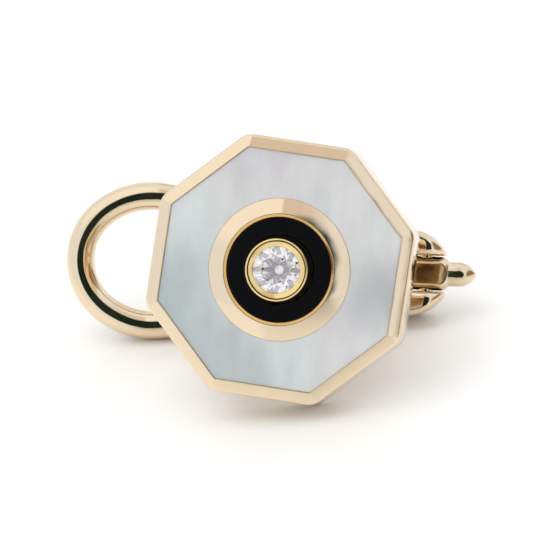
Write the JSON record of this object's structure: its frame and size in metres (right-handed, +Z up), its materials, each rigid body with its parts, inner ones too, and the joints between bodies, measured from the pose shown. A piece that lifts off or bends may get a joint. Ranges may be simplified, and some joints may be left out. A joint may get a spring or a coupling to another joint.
{
  "type": "shirt stud",
  "caption": "Octagonal gold shirt stud with shell inlay, black ring and set brilliant, a pointed toggle nose and a hinged wire loop behind.",
  "frame": {"origin": "middle of the bounding box in X and Y, on the table that the stud rests on", "axes": "+Z up, the face looks towards -Y and leans back, the loop's round end towards -X and the nose towards +X"},
  "size_m": [0.0164, 0.011, 0.0103],
  "materials": {
    "pale_gold": "polished pale yellow gold",
    "yellow_gold": "polished yellow gold",
    "shell": "polished mother-of-pearl",
    "onyx": "polished black onyx",
    "brilliant": "faceted and polished"
  },
  "bodies": {
    "stud": {"octagon_frame": "pale_gold", "shell_inlay": "shell", "ring_collar": "pale_gold", "onyx_ring": "onyx", "stone_setting": "yellow_gold", "stone": "brilliant", "post": "pale_gold", "nose_arm": "pale_gold", "hinge_pin": "pale_gold"},
    "loop": {"loop": "pale_gold"}
  },
  "joints": [
    {"name": "loop_swing", "type": "hinge", "parent": "stud", "child": "loop", "pos_m": [0.00617, 0.00317, 0.00175], "axis": [-0.1112, -0.4587, -0.8816], "range_deg": [0, 175]}
  ]
}
